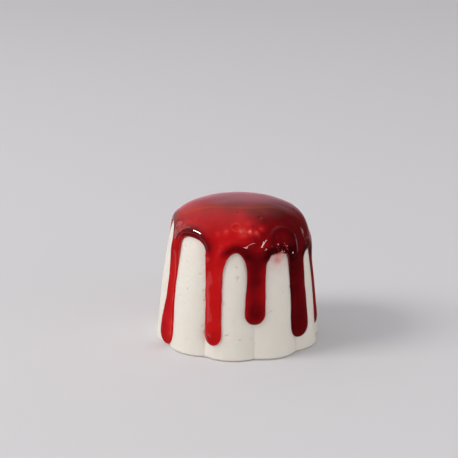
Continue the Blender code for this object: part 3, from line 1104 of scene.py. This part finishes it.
# What follows is only mirrored: long streaks down the left of the drips,
lamp("window", -118, 20, 1.5, (0.42, 1.3), WINDOW_POWER, "fff8f8").visible_diffuse = False
# a pale line low on the left,
lamp("table glow", -80, -14, 1.5, (1.1, 0.22), GLOW_POWER, "fff8f8").visible_diffuse = False
# a thin line at the right edge,
lamp("rim", 133, -2, 1.5, (0.14, 0.42), RIM_POWER, "ffe8ec").visible_diffuse = False
# bright spots on the left drips and the shoulder,
lamp("side glint", -76, 28, 1.5, (0.4, 0.26), SIDE_GLINT_POWER, "ffffff").visible_diffuse = False
# and the spots over the arches at the right
lamp("front glint", 28, 29, 1.5, (0.42, 0.16), FRONT_GLINT_POWER, "fff4f4").visible_diffuse = False
bpy.context.scene.view_settings.view_transform = "Standard"
print("lamps:", len(bpy.data.lights))

# %% [markdown]
# ## The room
# The pale room lights the cream evenly from all sides, a little more from the left. The sauce
# mirrors it as well, and there it can't be even: it is pale behind and overhead, with one warm
# bright line, and dark in front and at the right. The world therefore holds both, a plain light
# and a mirrored room, and picks the second for rays that come off a glossy surface.

# %% The room
WORLD_LIGHT = 0.6
# The mirrored room's walls, from the front (0) over the middle (1) to the back (2).
MIRRORED = ((0.0, "000000"), (0.4, "000000"), (0.66, "525152"), (1.17, "8f8889"), (1.7, "9c9696"),
            (1.83, "b08984"), (1.866, "f69c74"), (1.89, "ae8581"), (1.93, "ae8892"), (2.0, "c29fab"))
MIRROR_LIGHT = 1.4
DARK_RIGHT = (-0.02, 0.5)   # the right of the room is dark
RIGHT_LIGHT = 0.08          # and has this share of the light
DARK_LEFT = (-0.55, -0.3)   # so is the left of it, below the level of the table
LEVEL = (-0.1, 0.0)
LOW_LIGHT = 0.15            # with this share
LEFT_LIGHT = 0.3            # how much brighter the plain light is at the left


def between(tree, value, places, first, last):
    """An S-curve from first to last as the value goes from one place to the other."""
    return add(tree, "ShaderNodeMapRange", {
        "Value": value, "From Min": places[0], "From Max": places[1], "To Min": first, "To Max": last},
        interpolation_type="SMOOTHSTEP").outputs["Result"]


def direction(tree):
    """Three sockets from -1 to 1: to the right, to the back and up."""
    ray = add(tree, "ShaderNodeTexCoord").outputs["Generated"]
    return add(tree, "ShaderNodeSeparateXYZ", {0: ray}).outputs


def mirrored_room(tree):
    """Pale and a little warm behind and overhead, dark in front, at the right and low at the left."""
    right, back, up = direction(tree)
    place = add(tree, "ShaderNodeMath", {0: back, 1: 1.0}, operation="ADD")
    above = between(tree, up, LEVEL, LOW_LIGHT, 1)
    low_left = add(tree, "ShaderNodeMath", {
        0: above, 1: between(tree, right, DARK_LEFT, 0, 1)}, operation="MAXIMUM")
    sideways = between(tree, right, DARK_RIGHT, MIRROR_LIGHT, RIGHT_LIGHT * MIRROR_LIGHT)
    power = add(tree, "ShaderNodeMath", {
        0: low_left.outputs[0], 1: sideways}, operation="MULTIPLY")
    return add(tree, "ShaderNodeBackground", {
        "Color": ramp(tree, place.outputs[0], MIRRORED), "Strength": power.outputs[0]})


world = bpy.data.worlds.new("pale_room")
world.use_nodes = True
room = world.node_tree
plain = room.nodes["Background"]
plain.inputs["Color"].default_value = colour("f3f3f6")
from_left = add(room, "ShaderNodeMath", {
    0: direction(room)[0], 1: -LEFT_LIGHT * WORLD_LIGHT, 2: WORLD_LIGHT}, operation="MULTIPLY_ADD")
room.links.new(from_left.outputs[0], plain.inputs["Strength"])
seen = add(room, "ShaderNodeMixShader", {
    0: add(room, "ShaderNodeLightPath").outputs["Is Glossy Ray"],
    1: plain.outputs[0], 2: mirrored_room(room).outputs[0]})
room.links.new(seen.outputs[0], room.nodes["World Output"].inputs["Surface"])
bpy.context.scene.world = world
print("world:", len(room.nodes), "nodes")

# %% [markdown]
# ## The camera
# The camera stands 20 degrees above the level of the table, more than half a metre away, and is
# rolled by less than a degree. A focal length in pixels and the pixel where the middle of the base
# lies say the rest. The camera is turned towards that pixel and needs no shift.

# %% The camera
IMAGE_SIZE = 458        # pixels
BASE_PIXEL = (237.5, 332.8)     # where the middle of the base is in the picture
FOCAL_PIXELS = 1351.5
CAMERA_DISTANCE = 0.5755        # metres
CAMERA_ELEVATION = 20.2         # degrees
CAMERA_ROLL = 0.8       # degrees
SENSOR_WIDTH = 36       # mm


def photo_camera():
    """Looks at the middle of the base, rolls, then turns until that point is at its pixel."""
    rise = radians(CAMERA_ELEVATION)
    place = Vector((0, -cos(rise), sin(rise))) * CAMERA_DISTANCE
    look = (-place).to_track_quat("-Z", "Y").to_matrix() @ Matrix.Rotation(radians(CAMERA_ROLL), 3, "Z")
    middle = IMAGE_SIZE / 2
    ray = Vector((BASE_PIXEL[0] - middle, middle - BASE_PIXEL[1], -FOCAL_PIXELS))
    look = look @ ray.rotation_difference(Vector((0, 0, -1))).to_matrix()
    data = bpy.data.cameras.new("camera")
    data.sensor_width = SENSOR_WIDTH
    data.lens = FOCAL_PIXELS / IMAGE_SIZE * SENSOR_WIDTH
    camera = bpy.data.objects.new("camera", data)
    camera.matrix_world = Matrix.Translation(place) @ look.to_4x4()
    bpy.context.scene.collection.objects.link(camera)
    bpy.context.scene.camera = camera


photo_camera()
print("focal length, mm:", round(bpy.context.scene.camera.data.lens, 1))
